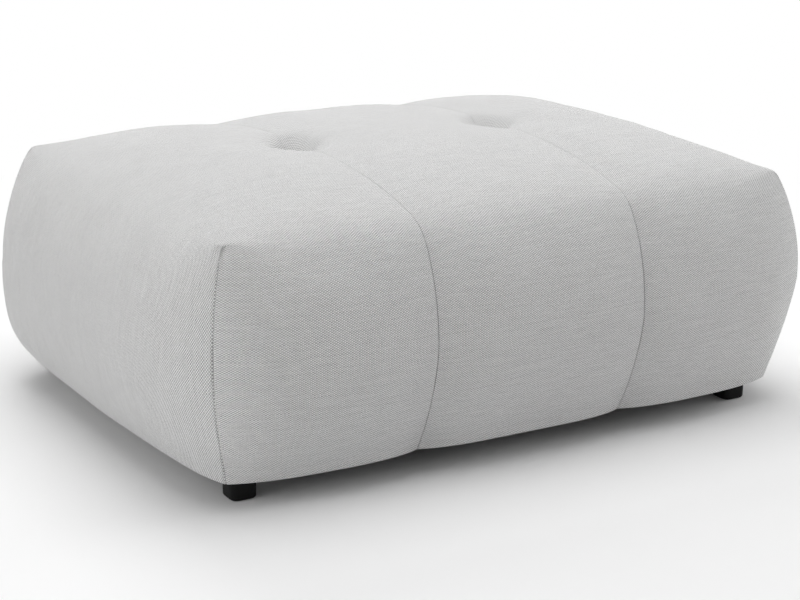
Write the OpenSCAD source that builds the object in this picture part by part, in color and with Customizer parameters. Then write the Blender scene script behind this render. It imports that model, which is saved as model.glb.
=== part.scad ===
// Large tufted footstool: a clad timber box with a foam seat, three sewn covers
// over fibre fillings, two stitched tufts and four moulded feet.
// Origin on the floor under the middle, +X along the length, front at -Y, +Z up.

/* [Overall size] */
// Length between the corner seams at their top ends
corner_l = 930; // [830:10:1030]
// Width between the corner seams at their top ends
corner_w = 700; // [620:10:780]
// Height of the top corners above the floor
ear_z = 369; // [345:1:410]

/* [Cushion form] */
// Distance from the middle to each sewn channel
channel_x = 174; // [140:2:210]
// How far the corner seams bow out at mid height
corner_bow = 29; // [10:1:40]
// Bulge of the two end faces beyond the corner seams
end_bulge = 37; // [15:1:60]
// Bulge of the front and rear faces beyond the corner seams
side_bulge = 25; // [15:1:60]
// Overhang of the top edges at the two ends
end_top_out = 2; // [0:1:40]
// Overhang of the top edges at front and rear
side_top_out = 31; // [0:1:50]
// Overhang of the hem at the two ends
end_hem_out = 35; // [0:1:40]
// Overhang of the hem at front and rear
side_hem_out = 31; // [0:1:40]
// Rise of the top above the corners
crown = 50; // [20:1:60]
// Width of the slope beside a channel
channel_reach = 102; // [60:1:130]
// Depth of a channel across the top
channel_top_depth = 6; // [2:1:14]
// Depth of a channel down the front and rear
channel_side_depth = 19; // [6:1:30]
// Depth of a channel at the hem
channel_hem_depth = 20; // [2:1:30]
// Depth of the two stitched tufts
tuft_depth = 56; // [30:1:62]
// Radius of the hollow round a tuft
tuft_reach = 105; // [70:1:130]

/* [Layers] */
// Thickness of the woven cover
cover_t = 1.2; // [0.8:0.1:2]
// Gap between the cover and the fibre filling
fill_gap = 0.5; // [0.3:0.1:1]
// Least filling between the cover and the seat foam
fill_min = 10; // [6:1:20]
// Slot between two fillings, where the seam and the twine pass
fill_slot = 4; // [3:0.5:8]
// Width of the cover turned in under the frame
hem_turn = 30; // [20:1:32]
// Thickness of the dust cover under the frame
dust_t = 0.6; // [0.4:0.1:1.2]
// Distance from the corner seams in to the dust cover
dust_inset = 14; // [10:1:16]

/* [Timber frame] */
// Distance from the corner seams in to the timber
frame_inset = 18; // [17:1:24]
// Height of the frame under the deck
frame_h = 190; // [160:5:200]
// Width of a square corner post
post_w = 40; // [36:1:50]
// Thickness of a rail
rail_t = 22; // [18:1:28]
// Height of a rail
rail_h = 45; // [35:1:60]
// Thickness of the plywood deck
deck_t = 9; // [6:1:15]
// Thickness of the hardboard cladding
panel_t = 3; // [2:0.5:5]
// Diameter of the dowels
dowel_d = 8; // [6:1:10]
// Length of the dowels
dowel_l = 40; // [30:2:60]
// Clearance round a dowel, a screw and a twine washer
fit_gap = 0.1; // [0.05:0.05:0.3]

/* [Tufts] */
// Diameter of the twine
twine_d = 2.5; // [1.5:0.1:2.8]
// Diameter of the twine holes in the foam and the deck
twine_hole_d = 6; // [4:0.5:10]
// Diameter of the washer under the deck
washer_d = 32; // [24:1:40]
// Thickness of the washer
washer_t = 2.4; // [1.6:0.2:4]
// Diameter of the knot under the washer
knot_d = 8; // [6:0.5:10]

/* [Feet] */
// Height of a foot
foot_h = 35; // [22:1:50]
// Width of a square foot
foot_w = 40; // [34:1:46]
// Radius of a foot's upright corners
foot_corner_r = 10; // [4:0.5:14]
// Radius of a foot's bottom edges
foot_edge_r = 4; // [1:0.5:6]
// Diameter of the recess for the screw head
recess_d = 13; // [11:0.5:16]
// Plastic left above the recess
foot_web = 9; // [6:0.5:12]

/* [Screws] */
// Diameter of a screw's shank
screw_d = 4.5; // [3.5:0.5:6]
// Diameter of a screw's head
head_d = 9; // [7:0.5:10.5]
// Length of a foot screw under its head
foot_screw_l = 38; // [30:1:50]
// Length of a deck screw
deck_screw_l = 32; // [25:1:42]
// Number of deck screws along each long rail
deck_screws_long = 5; // [3:1:8]
// Distance of the outermost deck screws from the ends of the long rails
deck_screw_end = 30; // [20:1:60]

/* [Hidden] */
$fn = 48;
// Powers that set how fully each face swells towards its corners
bow_power = 2.2;
side_plan_power = 8;
end_plan_power = 8;
crown_l_power = 6;
crown_w_power = 3.1;
channel_power = 8;
end_pull_power = 1.5;
// Lattice: cells along a lobe, across the width and up a side
lobe_cells = 10;
width_cells = 14;
side_cells = 9;
// Crowding of the lattice lines towards edges, channels and tufts
crowd = 0.08;
half_l = corner_l / 2;
half_w = corner_w / 2;
dust_z = foot_h;
hem_z = dust_z + dust_t;
frame_z = hem_z + cover_t;
frame_top = frame_z + frame_h;
deck_top = frame_top + deck_t;
frame_half_l = half_l - frame_inset;
frame_half_w = half_w - frame_inset;
block_half_l = frame_half_l + panel_t;
block_half_w = frame_half_w + panel_t;
pit_z = ear_z + crown - channel_top_depth - tuft_depth;
foam_top = min(ear_z, pit_z) - cover_t - fill_gap - fill_min;
fill_in = cover_t + fill_gap;
post_l = frame_half_l - post_w / 2;
post_wd = frame_half_w - post_w / 2;
head_h = (head_d - screw_d) / 2;
rail_levels = [frame_z + rail_h / 2, frame_top - rail_h / 2];

// The cushion's skin. x is the place along the length in mm, b runs from -1 at the
// front to 1 at the rear, c from -1 at the hem to 1 at the top edge, and inset moves
// the skin inwards for the layers below it.
function side_of(v) = v < 0 ? -1 : 1;
function end_share(x) = max(0, (abs(x) - channel_x) / (half_l - channel_x));
function swell(c, bulge, top_out, hem_out, plan) =
  (1 - pow(abs(c), bow_power)) * (corner_bow + bulge * plan)
  + plan * (top_out * (1 + c) / 2 + hem_out * (1 - c) / 2);
function pull_x(x, inset, out) =
  side_of(x) * (min(abs(x), channel_x) + end_share(x) * (half_l - inset - channel_x)
  + pow(end_share(x), end_pull_power) * out);
function channel_near(x) = pow(max(0, 1 - abs(abs(x) - channel_x) / channel_reach), 2);
function channel_depth(c) =
  channel_side_depth + (channel_top_depth - channel_side_depth) * pow(max(0, c), 3)
  + (channel_hem_depth - channel_side_depth) * pow(max(0, -c), 3);
function tuft_near(x, y) =
  pow(max(0, 1 - norm([abs(x) - channel_x, y]) / tuft_reach), 2);
function skin(x, b, c, inset) =
  let (
    end_plan = 1 - pow(abs(b), end_plan_power),
    side_plan = 1 - pow(abs(x) / half_l, side_plan_power),
    end_out = swell(c, end_bulge, end_top_out, end_hem_out, end_plan),
    side_out = swell(c, side_bulge, side_top_out, side_hem_out, side_plan),
    ny = pow(abs(b), channel_power),
    nz = pow(max(0, c), channel_power),
    sunk = channel_near(x) * channel_depth(c) / max(0.001, norm([ny, nz])),
    y = b * (half_w - inset + side_out) - side_of(b) * sunk * ny,
    rise = crown * (1 - pow(abs(x) / half_l, crown_l_power))
      * (1 - pow(abs(b), crown_w_power)) * pow(max(0, c), 3),
    pit = c < 1 ? 0 : tuft_depth * tuft_near(x, y)
  )
  [
    pull_x(x, inset, end_out),
    y,
    hem_z + inset + (ear_z - hem_z - 2 * inset) * (1 + c) / 2 + rise - sunk * nz - pit
  ];
// Inner edge of the cover where it is turned in under the frame
function turned(x, b, inset) =
  [pull_x(x, hem_turn, 0), b * (half_w - hem_turn), hem_z + inset];

// Lattice lines: t runs from 0 to 1 and comes back crowded at both ends
function crowded(t) = t - crowd * sin(360 * t);
function width_line(j) =
  let (s = 2 * j / width_cells - 1)
  s - crowd * sin(360 * s);
function side_line(k) = 2 * crowded(k / side_cells) - 1;
function centre_line(i, cut) =
  let (x = channel_x * (2 * crowded(i / lobe_cells) - 1))
  max(-channel_x + cut, min(channel_x - cut, x));
function left_line(i, cut) =
  min(-channel_x - cut, -half_l + (half_l - channel_x) * crowded(i / lobe_cells));

// One girth of the skin at x: up the front, over the top and down the rear
function girth(x, inset, hem) = concat(
  hem ? [turned(x, -1, inset)] : [],
  [for (k = [0:side_cells]) skin(x, -1, side_line(k), inset)],
  [for (j = [1:width_cells - 1]) skin(x, width_line(j), 1, inset)],
  [for (k = [side_cells:-1:0]) skin(x, 1, side_line(k), inset)],
  hem ? [turned(x, 1, inset)] : []
);
// Points of the left end face that no girth holds, from the hem up
function end_rows(inset, hem) = [
  for (j = [1:width_cells - 1])
    for (k = [hem ? -1 : 0:side_cells - 1])
      k < 0 ? turned(-half_l, width_line(j), inset)
        : skin(-half_l, width_line(j), side_line(k), inset)
];
function flat_list(rows) = [for (row = rows) each row];
function quad(a, b, c, d, turn) =
  turn ? [[c, b, a], [d, c, a]] : [[a, b, c], [a, c, d]];

// Strip of cells between girths, its points starting at base
function strip_faces(base, last, turn) = flat_list([
  for (i = [0:lobe_cells - 1])
    for (g = [0:last - 1])
      let (p = base + i * (last + 1) + g, q = p + last + 1)
      quad(p, p + 1, q + 1, q, turn)
]);
// End face: its rim is the first girth, its inner points start at base + own
function end_point(base, own, last, up, j, k) =
  j == 0 ? base + k
  : j == width_cells ? base + last - k
  : k == up ? base + up + j
  : base + own + (j - 1) * up + k;
function end_faces(base, own, last, up, turn) = flat_list([
  for (j = [0:width_cells - 1])
    for (k = [0:up - 1])
      quad(
        end_point(base, own, last, up, j, k), end_point(base, own, last, up, j + 1, k),
        end_point(base, own, last, up, j + 1, k + 1), end_point(base, own, last, up, j, k + 1),
        turn
      )
]);
// Rim between the outer path and the same path one layer in
function rim_faces(path, layer, turn) = flat_list([
  for (n = [0:len(path) - 2])
    quad(path[n], path[n + 1], path[n + 1] + layer, path[n] + layer, turn)
]);

// Cut face of a filling beside a channel: the girth starts at point first, the room's
// four corners at point room
function reversed(list) = [for (n = [len(list) - 1:-1:0]) list[n]];
function cut_faces(first, room) =
  let (front = side_cells, rear = side_cells + width_cells)
  [
    concat([for (g = [0:front]) first + g], [room + 1, room]),
    concat([for (g = [front:rear]) first + g], [room + 2, room + 1]),
    concat([for (g = [rear:fill_last]) first + g], [room + 3, room + 2])
  ];

// Number of the last point on a girth with and without the turned hem
hem_last = 2 * side_cells + width_cells + 2;
fill_last = hem_last - 2;
strip_points = (lobe_cells + 1) * (hem_last + 1);
fill_strip_points = (lobe_cells + 1) * (fill_last + 1);

module centre_cover_shell() {
  layer = strip_points;
  first = [for (g = [0:hem_last]) g];
  last = [for (g = [0:hem_last]) lobe_cells * (hem_last + 1) + g];
  front = [for (i = [0:lobe_cells]) i * (hem_last + 1)];
  rear = [for (i = [0:lobe_cells]) i * (hem_last + 1) + hem_last];
  polyhedron(
    flat_list([
      for (inset = [0, cover_t])
        for (i = [0:lobe_cells]) girth(centre_line(i, 0), inset, true)
    ]),
    concat(
      strip_faces(0, hem_last, false),
      strip_faces(layer, hem_last, true),
      rim_faces(first, layer, true),
      rim_faces(last, layer, false),
      rim_faces(front, layer, false),
      rim_faces(rear, layer, true)
    ),
    10
  );
}

module left_cover_shell() {
  layer = strip_points + (width_cells - 1) * (side_cells + 1);
  up = side_cells + 1;
  channel = [for (g = [0:hem_last]) lobe_cells * (hem_last + 1) + g];
  hem = concat(
    [for (i = [lobe_cells:-1:0]) i * (hem_last + 1)],
    [for (j = [1:width_cells]) end_point(0, strip_points, hem_last, up, j, 0)],
    [for (i = [1:lobe_cells]) i * (hem_last + 1) + hem_last]
  );
  polyhedron(
    flat_list([
      for (inset = [0, cover_t])
        concat(
          flat_list([for (i = [0:lobe_cells]) girth(left_line(i, 0), inset, true)]),
          end_rows(inset, true)
        )
    ]),
    concat(
      strip_faces(0, hem_last, false),
      strip_faces(layer, hem_last, true),
      end_faces(0, strip_points, hem_last, up, false),
      end_faces(layer, strip_points, hem_last, up, true),
      rim_faces(channel, layer, false),
      rim_faces(hem, layer, true)
    ),
    10
  );
}

// Room for the foam and the clad frame inside the fillings
fill_floor = hem_z + fill_in;
room_half_l = block_half_l + fill_gap;
room_half_w = block_half_w + fill_gap;
room_top = foam_top + fill_gap;

module centre_filling_body() {
  cut = channel_x - fill_slot / 2;
  n = fill_strip_points;
  row = fill_last + 1;
  end_row = lobe_cells * row;
  polyhedron(
    concat(
      flat_list([
        for (i = [0:lobe_cells]) girth(centre_line(i, fill_slot / 2), fill_in, false)
      ]),
      [
        for (x = [-cut, cut])
          for (p = [[-1, fill_floor], [-1, room_top], [1, room_top], [1, fill_floor]])
            [x, p[0] * room_half_w, p[1]]
      ]
    ),
    concat(
      strip_faces(0, fill_last, false),
      [for (face = cut_faces(0, n)) reversed(face)],
      cut_faces(end_row, n + 4),
      [
        concat([for (i = [0:lobe_cells]) i * row], [n + 4, n]),
        concat([for (i = [0:lobe_cells]) end_row + fill_last - i * row], [n + 3, n + 7])
      ],
      [[n, n + 4, n + 5, n + 1], [n + 1, n + 5, n + 6, n + 2], [n + 2, n + 6, n + 7, n + 3]]
    ),
    10
  );
}

module left_filling_body() {
  cut = -channel_x - fill_slot / 2;
  up = side_cells;
  row = fill_last + 1;
  n = fill_strip_points + (width_cells - 1) * side_cells;
  end_row = lobe_cells * row;
  polyhedron(
    concat(
      flat_list([for (i = [0:lobe_cells]) girth(left_line(i, fill_slot / 2), fill_in, false)]),
      end_rows(fill_in, false),
      [
        for (x = [-room_half_l, cut])
          for (p = [[-1, fill_floor], [-1, room_top], [1, room_top], [1, fill_floor]])
            [x, p[0] * room_half_w, p[1]]
      ]
    ),
    concat(
      strip_faces(0, fill_last, false),
      end_faces(0, fill_strip_points, fill_last, up, false),
      cut_faces(end_row, n + 4),
      [
        concat([for (i = [0:lobe_cells]) i * row], [n + 4, n]),
        concat([for (i = [lobe_cells:-1:0]) i * row + fill_last], [n + 3, n + 7]),
        concat(
          [n, n + 3],
          [
            for (j = [width_cells:-1:0])
              end_point(0, fill_strip_points, fill_last, up, j, 0)
          ]
        )
      ],
      [
        [n, n + 4, n + 5, n + 1], [n + 1, n + 5, n + 6, n + 2],
        [n + 2, n + 6, n + 7, n + 3], [n, n + 1, n + 2, n + 3]
      ]
    ),
    10
  );
}

module left_cover() {
  color("gainsboro") left_cover_shell();
}
module centre_cover() {
  color("lightgray") centre_cover_shell();
}
module right_cover() {
  color("gainsboro") mirror([1, 0, 0]) left_cover_shell();
}
module left_filling() {
  color("white") left_filling_body();
}
module centre_filling() {
  color("snow") centre_filling_body();
}
module right_filling() {
  color("white") mirror([1, 0, 0]) left_filling_body();
}

// Upright hole at each tuft
module tuft_holes(d, low, high) {
  for (side = [-1, 1])
    translate([side * channel_x, 0, low]) cylinder(d = d, h = high - low);
}
module seat_foam() {
  color("khaki")
    difference() {
      translate([-block_half_l, -block_half_w, deck_top])
        cube([2 * block_half_l, 2 * block_half_w, foam_top - deck_top]);
      tuft_holes(twine_hole_d, deck_top - 1, foam_top + 1);
    }
}
module deck() {
  color("burlywood")
    difference() {
      translate([-frame_half_l, -frame_half_w, frame_top])
        cube([2 * frame_half_l, 2 * frame_half_w, deck_t]);
      tuft_holes(twine_hole_d, frame_top - 1, deck_top + 1);
      deck_screw_places() screw_hole(deck_screw_l);
    }
}

// Hardboard cladding: the long pieces cover the ends of the short ones
module long_panel() {
  translate([-block_half_l, -block_half_w, frame_z])
    cube([2 * block_half_l, panel_t, deck_top - frame_z]);
}
module short_panel() {
  translate([-block_half_l, -frame_half_w, frame_z])
    cube([panel_t, 2 * frame_half_w, deck_top - frame_z]);
}
module front_panel() {
  color("sienna") long_panel();
}
module rear_panel() {
  color("sienna") mirror([0, 1, 0]) long_panel();
}
module left_panel() {
  color("peru") short_panel();
}
module right_panel() {
  color("peru") mirror([1, 0, 0]) short_panel();
}

// Dowels join each rail's end to a post at both levels
module dowel_places() {
  for (side = [-1, 1])
    for (end = [-1, 1])
      for (z = rail_levels) {
        translate([side * (frame_half_l - post_w), end * (frame_half_w - rail_t / 2), z])
          rotate([0, 90, 0]) children();
        translate([side * (frame_half_l - rail_t / 2), end * (frame_half_w - post_w), z])
          rotate([90, 0, 0]) children();
      }
}
module dowel(extra) {
  cylinder(d = dowel_d + 2 * extra, h = dowel_l + 2 * extra, center = true);
}
module dowels() {
  color("tan") dowel_places() dowel(0);
}
module post() {
  difference() {
    translate([-frame_half_l, -frame_half_w, frame_z]) cube([post_w, post_w, frame_h]);
    dowel_places() dowel(fit_gap);
    foot_places() screw_hole(foot_screw_l);
    deck_screw_places() screw_hole(deck_screw_l);
  }
}
module long_rail(z) {
  difference() {
    translate([post_w - frame_half_l, -frame_half_w, z - rail_h / 2])
      cube([2 * (frame_half_l - post_w), rail_t, rail_h]);
    dowel_places() dowel(fit_gap);
    deck_screw_places() screw_hole(deck_screw_l);
  }
}
module short_rail(z) {
  difference() {
    translate([-frame_half_l, post_w - frame_half_w, z - rail_h / 2])
      cube([rail_t, 2 * (frame_half_w - post_w), rail_h]);
    dowel_places() dowel(fit_gap);
  }
}
module front_left_post() {
  color("wheat") post();
}
module front_right_post() {
  color("wheat") mirror([1, 0, 0]) post();
}
module rear_left_post() {
  color("wheat") mirror([0, 1, 0]) post();
}
module rear_right_post() {
  color("wheat") mirror([0, 1, 0]) mirror([1, 0, 0]) post();
}
module front_bottom_rail() {
  color("wheat") long_rail(rail_levels[0]);
}
module rear_bottom_rail() {
  color("wheat") mirror([0, 1, 0]) long_rail(rail_levels[0]);
}
module left_bottom_rail() {
  color("wheat") short_rail(rail_levels[0]);
}
module right_bottom_rail() {
  color("wheat") mirror([1, 0, 0]) short_rail(rail_levels[0]);
}
module front_top_rail() {
  color("wheat") long_rail(rail_levels[1]);
}
module rear_top_rail() {
  color("wheat") mirror([0, 1, 0]) long_rail(rail_levels[1]);
}
module left_top_rail() {
  color("wheat") short_rail(rail_levels[1]);
}
module right_top_rail() {
  color("wheat") mirror([1, 0, 0]) short_rail(rail_levels[1]);
}
module deck_bearer() {
  color("wheat")
    translate([-rail_t / 2, rail_t - frame_half_w, frame_top - rail_h])
      cube([rail_t, 2 * (frame_half_w - rail_t), rail_h]);
}

// Countersunk screw, its head's flat face at the origin and its shank along -Z
module screw(l) {
  rotate_extrude()
    polygon([
      [0, 0], [head_d / 2, 0], [screw_d / 2, -head_h],
      [screw_d / 2, screw_d - l], [0, -l]
    ]);
}
module screw_hole(l) {
  rotate_extrude()
    polygon([
      [0, 0.5], [head_d / 2 + fit_gap, 0.5], [head_d / 2 + fit_gap, 0],
      [screw_d / 2 + fit_gap, -head_h],
      [screw_d / 2 + fit_gap, -l - fit_gap], [0, -l - fit_gap]
    ]);
}
module deck_screw_places() {
  reach = frame_half_l - post_w - deck_screw_end;
  for (end = [-1, 1])
    for (n = [0:deck_screws_long - 1])
      translate([
        reach * (2 * n / (deck_screws_long - 1) - 1),
        end * (frame_half_w - rail_t / 2),
        deck_top
      ]) children();
}
module deck_screws() {
  color("silver") deck_screw_places() screw(deck_screw_l);
}

// Twine from the tuft down to its knot under the washer
module twine() {
  low = frame_top - washer_t - knot_d / 2;
  translate([-channel_x, 0, low]) {
    cylinder(d = twine_d, h = pit_z - cover_t - fit_gap - low);
    sphere(d = knot_d);
  }
}
module washer() {
  translate([-channel_x, 0, frame_top - washer_t])
    difference() {
      cylinder(d = washer_d, h = washer_t);
      translate([0, 0, -1]) cylinder(d = twine_d + 2 * fit_gap, h = washer_t + 2);
      translate([0, 0, -knot_d / 2]) sphere(d = knot_d + 2 * fit_gap);
    }
}
module left_twine() {
  color("dimgray") twine();
}
module right_twine() {
  color("dimgray") mirror([1, 0, 0]) twine();
}
module left_washer() {
  color("gray") washer();
}
module right_washer() {
  color("gray") mirror([1, 0, 0]) washer();
}

module dust_cover() {
  size_l = 2 * (half_l - dust_inset);
  size_w = 2 * (half_w - dust_inset);
  color("black")
    difference() {
      translate([-size_l / 2, -size_w / 2, dust_z]) cube([size_l, size_w, dust_t]);
      foot_places()
        translate([0, 0, -foot_h]) cylinder(d = screw_d + 2 * fit_gap, h = 2 * foot_h);
    }
}

// Feet stand under the posts, each held by one screw from its recess
module foot_places() {
  for (side = [-1, 1])
    for (end = [-1, 1])
      translate([side * post_l, end * post_wd, foot_h - foot_web]) mirror([0, 0, 1]) children();
}
module foot_plan() {
  inner = foot_w - 2 * foot_corner_r;
  square([inner, foot_w], center = true);
  square([foot_w, inner], center = true);
  for (sx = [-1, 1])
    for (sy = [-1, 1])
      translate([sx * inner / 2, sy * inner / 2]) circle(r = foot_corner_r);
}
// Upright section of a foot with its two lower corners rounded
module foot_section() {
  inner = foot_w - 2 * foot_edge_r;
  translate([-foot_w / 2, foot_edge_r]) square([foot_w, foot_h - foot_edge_r]);
  translate([-inner / 2, 0]) square([inner, foot_h]);
  for (side = [-1, 1])
    translate([side * inner / 2, foot_edge_r]) circle(r = foot_edge_r);
}
module foot() {
  translate([-post_l, -post_wd, 0])
    difference() {
      intersection() {
        linear_extrude(foot_h) foot_plan();
        translate([0, foot_w, 0]) rotate([90, 0, 0]) linear_extrude(2 * foot_w) foot_section();
        translate([-foot_w, 0, 0]) rotate([90, 0, 90]) linear_extrude(2 * foot_w) foot_section();
      }
      translate([0, 0, -1]) cylinder(d = recess_d, h = foot_h - foot_web + 1);
      translate([0, 0, foot_h - foot_web]) mirror([0, 0, 1]) screw_hole(foot_screw_l);
    }
}
module front_left_foot() {
  color("dimgray") foot();
}
module front_right_foot() {
  color("dimgray") mirror([1, 0, 0]) foot();
}
module rear_left_foot() {
  color("dimgray") mirror([0, 1, 0]) foot();
}
module rear_right_foot() {
  color("dimgray") mirror([0, 1, 0]) mirror([1, 0, 0]) foot();
}
module foot_screws() {
  color("silver") foot_places() screw(foot_screw_l);
}

left_cover();
centre_cover();
right_cover();
left_filling();
centre_filling();
right_filling();
seat_foam();
deck();
front_panel();
rear_panel();
left_panel();
right_panel();
front_left_post();
front_right_post();
rear_left_post();
rear_right_post();
front_bottom_rail();
rear_bottom_rail();
left_bottom_rail();
right_bottom_rail();
front_top_rail();
rear_top_rail();
left_top_rail();
right_top_rail();
deck_bearer();
dowels();
deck_screws();
left_twine();
right_twine();
left_washer();
right_washer();
dust_cover();
front_left_foot();
front_right_foot();
rear_left_foot();
rear_right_foot();
foot_screws();
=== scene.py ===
import math

import bmesh
import bpy
import numpy as np
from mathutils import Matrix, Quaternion, Vector


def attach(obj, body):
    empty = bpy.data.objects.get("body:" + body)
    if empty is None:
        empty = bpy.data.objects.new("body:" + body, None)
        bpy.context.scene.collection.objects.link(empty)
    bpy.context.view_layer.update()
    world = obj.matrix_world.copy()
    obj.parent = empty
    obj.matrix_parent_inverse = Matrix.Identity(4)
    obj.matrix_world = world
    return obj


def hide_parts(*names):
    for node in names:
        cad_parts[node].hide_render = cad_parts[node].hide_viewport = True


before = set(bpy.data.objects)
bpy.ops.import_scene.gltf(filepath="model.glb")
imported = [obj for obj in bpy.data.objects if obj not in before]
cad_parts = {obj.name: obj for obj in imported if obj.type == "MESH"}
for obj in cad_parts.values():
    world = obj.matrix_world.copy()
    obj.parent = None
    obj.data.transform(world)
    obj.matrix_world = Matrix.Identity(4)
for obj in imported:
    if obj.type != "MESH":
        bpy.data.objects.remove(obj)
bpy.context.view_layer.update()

# Camera, low and to the left of the front.
# It stands where the footstool's outline and seams fall as they do in the picture.
scene = bpy.context.scene
azimuth, elevation, distance = math.radians(-30.574), math.radians(16.405), 3.1029
aim, lean = Vector((0.0095, 0, 0.1364)), math.radians(0.475)


def placed(name, data):
    """A new object in the scene that shows the data."""
    made = bpy.data.objects.new(name, data)
    scene.collection.objects.link(made)
    return made


back = Vector((math.sin(azimuth) * math.cos(elevation),
               -math.cos(azimuth) * math.cos(elevation), math.sin(elevation)))
camera = placed("camera", bpy.data.cameras.new("camera"))
camera.location = aim + back * distance
camera.rotation_euler = (Quaternion(back, lean) @ back.to_track_quat("Z", "Y")).to_euler()
camera.data.sensor_width, camera.data.lens, camera.data.clip_end = 36, 87.96, 50
scene.camera = camera

# Woven cover, three panels of heavy plain-weave cloth.
# The outer two wrap over the ends with one dart at each upright corner, all three meet in
# two sewn channels, and the lower edge is turned in under the frame and stapled.
half_l, half_w, ear_z, hem_z = 0.465, 0.350, 0.369, 0.0356
channel_x, hem_turn, cloth_t = 0.174, 0.030, 0.0012
dart_top, ear_reach = ear_z - 0.004, 0.09


def gentle(t):
    """Smooth step from 0 to 1 as t goes from 0 to 1."""
    t = np.clip(t, 0, 1)
    return t * t * (3 - 2 * t)


def swell(c, bulge, top_out, hem_out, plan):
    """How far a face stands out from the corner seams at height c, -1 at the hem and 1 on top:
    an arch in c, higher in the middle of the face by plan, and a lean from hem_out to top_out."""
    arch = 1 - np.abs(c) ** np.where(c > 0, 2.28, 1.4)
    return arch * (0.029 + bulge * plan) + plan * (top_out * (1 + c) / 2 + hem_out * (1 - c) / 2)


def pulled(x, inset, out):
    """The place x along the length, unchanged between the channels, scaled beyond them so that
    the corner seams lie inset inwards, and moved out by the end's swell as it nears the end."""
    share = np.maximum(0, (np.abs(x) - channel_x) / (half_l - channel_x))
    sign = np.where(x < 0, -1.0, 1.0)
    return sign * (np.minimum(np.abs(x), channel_x) + share * (half_l - inset - channel_x)
                   + share ** 1.5 * out)


def skin(x, b, c):
    """Point of the cushion's skin: x along the length, b from -1 at the front to 1 at the rear,
    c from -1 at the hem to 1 on top. Faces swell between the corner seams, the rear of the
    ends a little more low down, and the top is crowned. The channels sink by a wide and a
    narrow squared ramp, and each tuft by a wide ramp and a steep one, longer along its
    channel."""
    rear_fill, front_tuck, crown, end_lift, side_lift = 0.041, 0.012, 0.0486, 0.0065, 0.0019
    wide, narrow, pit_reach, throat_reach = 0.102, 0.028, 0.085, 0.046
    x, b, c = np.broadcast_arrays(x, b, c)
    outer, up, down = np.abs(x) / half_l, np.maximum(0, c), np.maximum(0, -c)
    end_plan, side_plan = 1 - np.abs(b) ** 8, 1 - outer ** 8
    end_out = swell(c, bulge=0.0235, top_out=0.0115, hem_out=0.0408, plan=end_plan)
    end_out = end_out + rear_fill * np.maximum(0, b) ** 2 * down * (1 - down ** 4)
    end_out = end_out - front_tuck * end_plan * gentle(-b * 1.2) * down ** 2
    side_out = swell(c, bulge=0.0234, top_out=0.0195, hem_out=0.031, plan=side_plan)
    sideways, upwards = np.abs(b) ** 8, up ** 8
    beside = np.abs(np.abs(x) - channel_x)
    crease = 0.14 - 0.1 * up ** 3
    near = ((1 - crease) * np.maximum(0, 1 - beside / wide) ** 2
            + crease * np.maximum(0, 1 - beside / narrow) ** 2)
    depth = 0.012 - 0.005 * up ** 3 + 0.009 * down ** 3
    sunk = near * depth / np.maximum(0.001, np.hypot(sideways, upwards))
    y = b * (half_w + side_out) - np.sign(b) * sunk * sideways
    rise = crown * (1 - outer ** 5.24) * (1 - np.abs(b) ** 2.64) * up ** 3
    tuft = (0.027 * np.maximum(0, 1 - np.hypot(beside, y) / pit_reach) ** 2
            + 0.029 * np.maximum(0, 1 - np.hypot(beside, y / 1.35) / throat_reach) ** 1.15)
    pit = np.where(c < 1, 0, tuft)
    lift = (end_lift * end_plan * outer ** 8
            + side_lift * side_plan * (1 - near) * (np.abs(b) == 1))
    z = hem_z + (ear_z - hem_z) * (1 + c) / 2 + rise + lift * down ** 2 - sunk * upwards - pit
    return np.stack((pulled(x, 0, end_out), y, z), -1)


def lines(low, high, step, fine):
    """Places from low to high, step apart, but closer round the places that fine names as
    (place, spacing there, reach over which the spacing grows back)."""
    at = np.linspace(low, high, 4001)
    gap = np.full_like(at, step)
    for place, spacing, reach in fine:
        gap = np.minimum(gap, spacing + (step - spacing) * np.abs(at - place) / reach)
    count = np.concatenate(([0], np.cumsum((1 / gap[1:] + 1 / gap[:-1]) / 2 * np.diff(at))))
    return np.interp(np.linspace(0, count[-1], round(count[-1]) + 1), count, at)


def along(points):
    """Mean length along a grid's second axis, from its first point."""
    step = np.linalg.norm(np.diff(points, axis=1), axis=2).mean(0)
    return np.concatenate(([0], np.cumsum(step)))


def both_ways(points):
    """Mean lengths along a grid's first and second axes."""
    return along(points.transpose(1, 0, 2)), along(points)


def softened(points, sigma):
    """A grid with each point moved to the Gaussian mean of its line along the second axis, over
    sigma metres, which has one value for each point; 0 leaves it in place."""
    at = along(points)
    reach = np.minimum(sigma.max(0), np.minimum(at, at[-1] - at) / 3 + 1e-6)
    weight = np.exp(-0.5 * ((at[:, None] - at) / np.maximum(reach, 1e-5)[:, None]) ** 2)
    weight = weight * np.gradient(at)
    weight /= weight.sum(1, keepdims=True)
    mean = np.einsum("jk,ikd->ijd", weight, points)
    share = (sigma / np.maximum(sigma.max(0), 1e-9))[..., None]
    return points + (mean - points) * share


# Places c up a side, b over the top, the ring of both, and s out to the hem's fold
rise_c = lines(-1, 1, 0.021, [(-1, 0.012, 0.2), (1, 0.008, 0.3)])
across_b = lines(-1, 1, 0.0108, [(-1, 0.004, 0.07), (1, 0.004, 0.07), (0, 0.006, 0.25)])
ones = np.ones(len(rise_c) - 1)
ring_b = np.concatenate((-ones, across_b, ones))
ring_c = np.concatenate((rise_c[:-1], np.ones(len(across_b)), rise_c[-2::-1]))
hem_s = np.linspace(0, 1, 8)[:-1]
front_edge = len(hem_s) + len(rise_c) - 1
rear_edge = front_edge + len(across_b) - 1


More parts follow.
